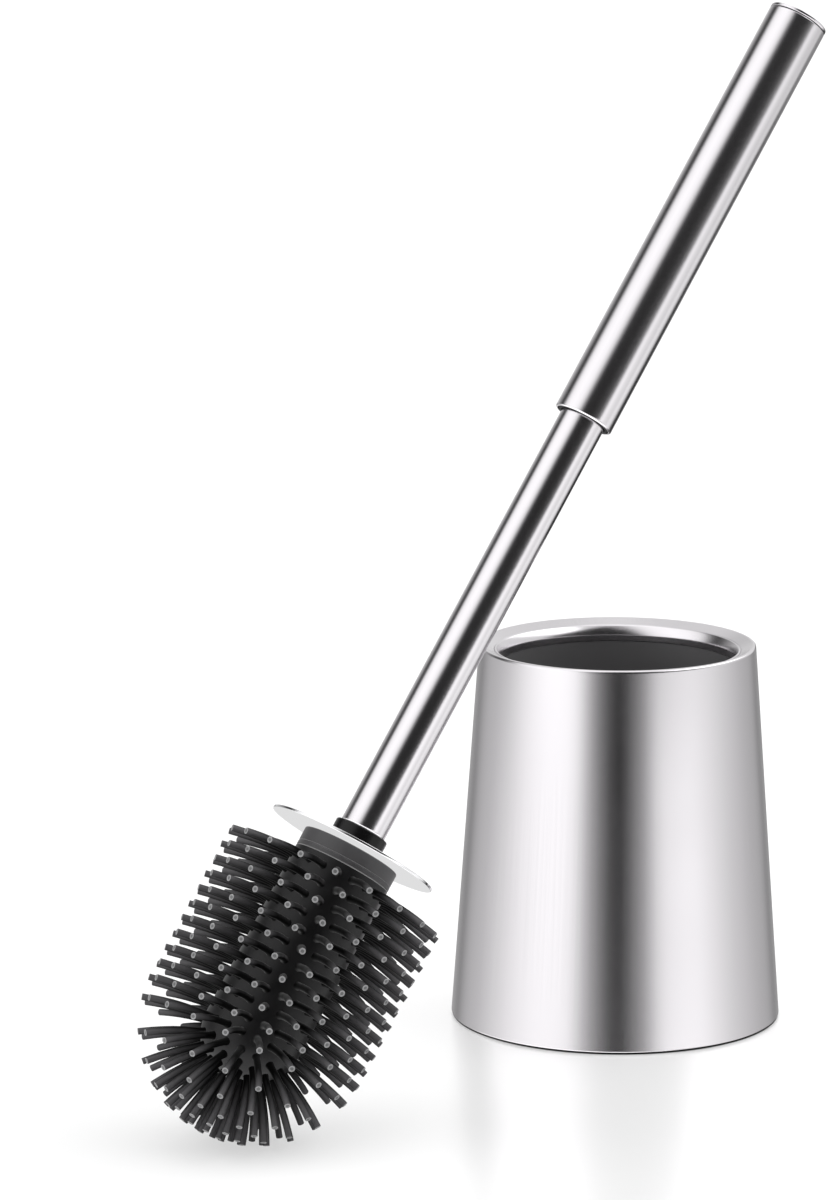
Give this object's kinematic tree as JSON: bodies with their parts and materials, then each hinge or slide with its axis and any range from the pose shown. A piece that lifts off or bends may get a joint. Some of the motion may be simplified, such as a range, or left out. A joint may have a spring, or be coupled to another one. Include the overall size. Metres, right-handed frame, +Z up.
{
  "type": "toilet brush and holder",
  "caption": "Toilet brush with flexible rubber fingers and a long steel handle, beside its tapered steel holder with a plastic liner.",
  "frame": {"origin": "middle of the holder's underside, on the flat face of its foot pad", "axes": "+Z up; the brush stands on the -X, -Y side of the holder and its handle leans towards +X and +Y"},
  "size_m": [0.2159, 0.2457, 0.3421],
  "materials": {
    "shell_steel": "fine brushed, along the height",
    "handle_steel": "fine satin, along the handle",
    "disc_steel": "polished",
    "liner_plastic": "satin black",
    "black_plastic": "satin black",
    "rubber": "soft dark grey thermoplastic rubber",
    "foam": "matt closed-cell foam",
    "zinc": "zinc plated",
    "brass": "turned"
  },
  "bodies": {
    "holder": {"outer_shell": "shell_steel", "inner_cup": "liner_plastic", "base_plate": "black_plastic", "foot_pad": "foam", "base_screw_1": "zinc", "base_screw_2": "zinc", "base_screw_3": "zinc"},
    "brush_head": {"bristle_sleeve_upper": "rubber", "bristle_sleeve_middle": "rubber", "bristle_sleeve_lower": "rubber", "bristle_tip": "rubber", "head_core": "black_plastic", "thread_socket": "brass", "neck_cap": "rubber"},
    "splash_guard": {"splash_disc": "disc_steel", "seal_collar": "black_plastic"},
    "handle": {"threaded_stud": "zinc", "rod_end_insert": "black_plastic", "rod_tube": "handle_steel", "rod_top_plug": "black_plastic", "grip_bushing_lower": "black_plastic", "grip_bushing_upper": "black_plastic", "grip_tube": "handle_steel", "end_cap_plug": "black_plastic", "end_cap": "handle_steel"}
  },
  "joints": [
    {"name": "brush_lift", "type": "slide", "parent": "holder", "child": "brush_head", "axis": [0, 0, 1], "range_m": [0, 0.25]},
    {"name": "guard_rise", "type": "slide", "parent": "brush_head", "child": "splash_guard", "axis": [0.469, 0.3202, 0.8231], "range_m": [0, 0.0126]},
    {"name": "handle_unscrew", "type": "hinge", "parent": "splash_guard", "child": "handle", "pos_m": [-0.08337, -0.13179, 0.09432], "axis": [0.469, 0.3202, 0.8231], "range_deg": [0, 1800]}
  ],
  "couplings": [
    {"joint": "guard_rise", "follows": "handle_unscrew", "m_per_rad": 0.00039789}
  ]
}
